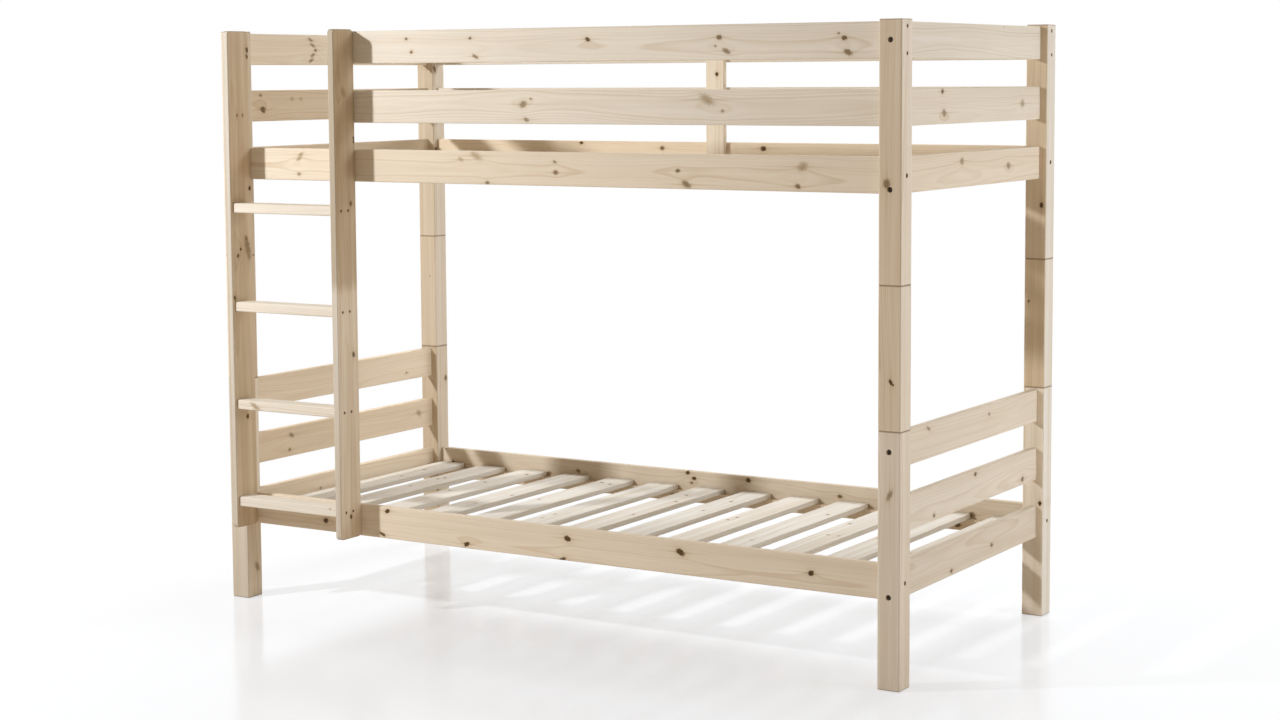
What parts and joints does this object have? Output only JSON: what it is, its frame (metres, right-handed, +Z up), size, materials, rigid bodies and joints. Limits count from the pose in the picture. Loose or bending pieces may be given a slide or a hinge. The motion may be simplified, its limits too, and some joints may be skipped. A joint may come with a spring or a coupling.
{
  "type": "bunk bed",
  "caption": "Solid pine bunk bed: a slatted single bed stacked on another like it by spacer posts, with a fixed upright ladder, guard boards and boarded ends.",
  "frame": {"origin": "on the floor, in the middle of the bounding box, ladder included", "axes": "+X along the bed to the end away from the ladder, +Y from the ladder side to the wall side, +Z up"},
  "size_m": [2.1, 1.042, 1.61],
  "materials": {
    "pine_post": "bare planed softwood, matte",
    "pine_board": "bare planed softwood, matte",
    "pine_ladder": "bare planed softwood, matte",
    "pine_slat": "bare planed softwood, matte",
    "pine_cleat": "bare planed softwood, matte",
    "beech_dowel": "bare turned hardwood",
    "zinc_plated_steel": "dull zinc plating"
  },
  "bodies": {
    "lower_bed": {"lower_back_cleat": "pine_cleat", "lower_back_rail": "pine_board", "lower_cross_dowel_nuts": "zinc_plated_steel", "lower_dowels": "beech_dowel", "lower_end_board_screws": "zinc_plated_steel", "lower_front_cleat": "pine_cleat", "lower_front_rail": "pine_board", "lower_left_end_board_low": "pine_board", "lower_left_end_board_middle": "pine_board", "lower_left_end_board_top": "pine_board", "lower_post_back_left": "pine_post", "lower_post_back_right": "pine_post", "lower_post_front_left": "pine_post", "lower_post_front_right": "pine_post", "lower_post_pins": "zinc_plated_steel", "lower_rail_bolts": "zinc_plated_steel", "lower_right_end_board_low": "pine_board", "lower_right_end_board_middle": "pine_board", "lower_right_end_board_top": "pine_board", "lower_slats": "pine_slat", "spacer_post_back_left": "pine_post", "spacer_post_back_right": "pine_post", "spacer_post_front_left": "pine_post", "spacer_post_front_right": "pine_post", "upper_post_pins": "zinc_plated_steel"},
    "upper_bed": {"back_batten": "pine_board", "back_middle_guard_board": "pine_board", "back_top_guard_board": "pine_board", "front_middle_guard_board": "pine_board", "front_top_guard_board": "pine_board", "guard_board_screws": "zinc_plated_steel", "ladder_left_stile": "pine_ladder", "ladder_right_stile": "pine_ladder", "ladder_rung_1": "pine_ladder", "ladder_rung_2": "pine_ladder", "ladder_rung_3": "pine_ladder", "ladder_rung_4": "pine_ladder", "rung_screws": "zinc_plated_steel", "stile_screws": "zinc_plated_steel", "upper_back_cleat": "pine_cleat", "upper_back_rail": "pine_board", "upper_cross_dowel_nuts": "zinc_plated_steel", "upper_dowels": "beech_dowel", "upper_end_board_screws": "zinc_plated_steel", "upper_front_cleat": "pine_cleat", "upper_front_rail": "pine_board", "upper_left_end_board_low": "pine_board", "upper_left_end_board_middle": "pine_board", "upper_left_end_board_top": "pine_board", "upper_post_back_left": "pine_post", "upper_post_back_right": "pine_post", "upper_post_front_left": "pine_post", "upper_post_front_right": "pine_post", "upper_rail_bolts": "zinc_plated_steel", "upper_right_end_board_low": "pine_board", "upper_right_end_board_middle": "pine_board", "upper_right_end_board_top": "pine_board", "upper_slats": "pine_slat"}
  },
  "joints": [
    {"name": "upper_bed_lift", "type": "slide", "parent": "lower_bed", "child": "upper_bed", "axis": [0, 0, 1], "range_m": [0, 0.06]}
  ]
}
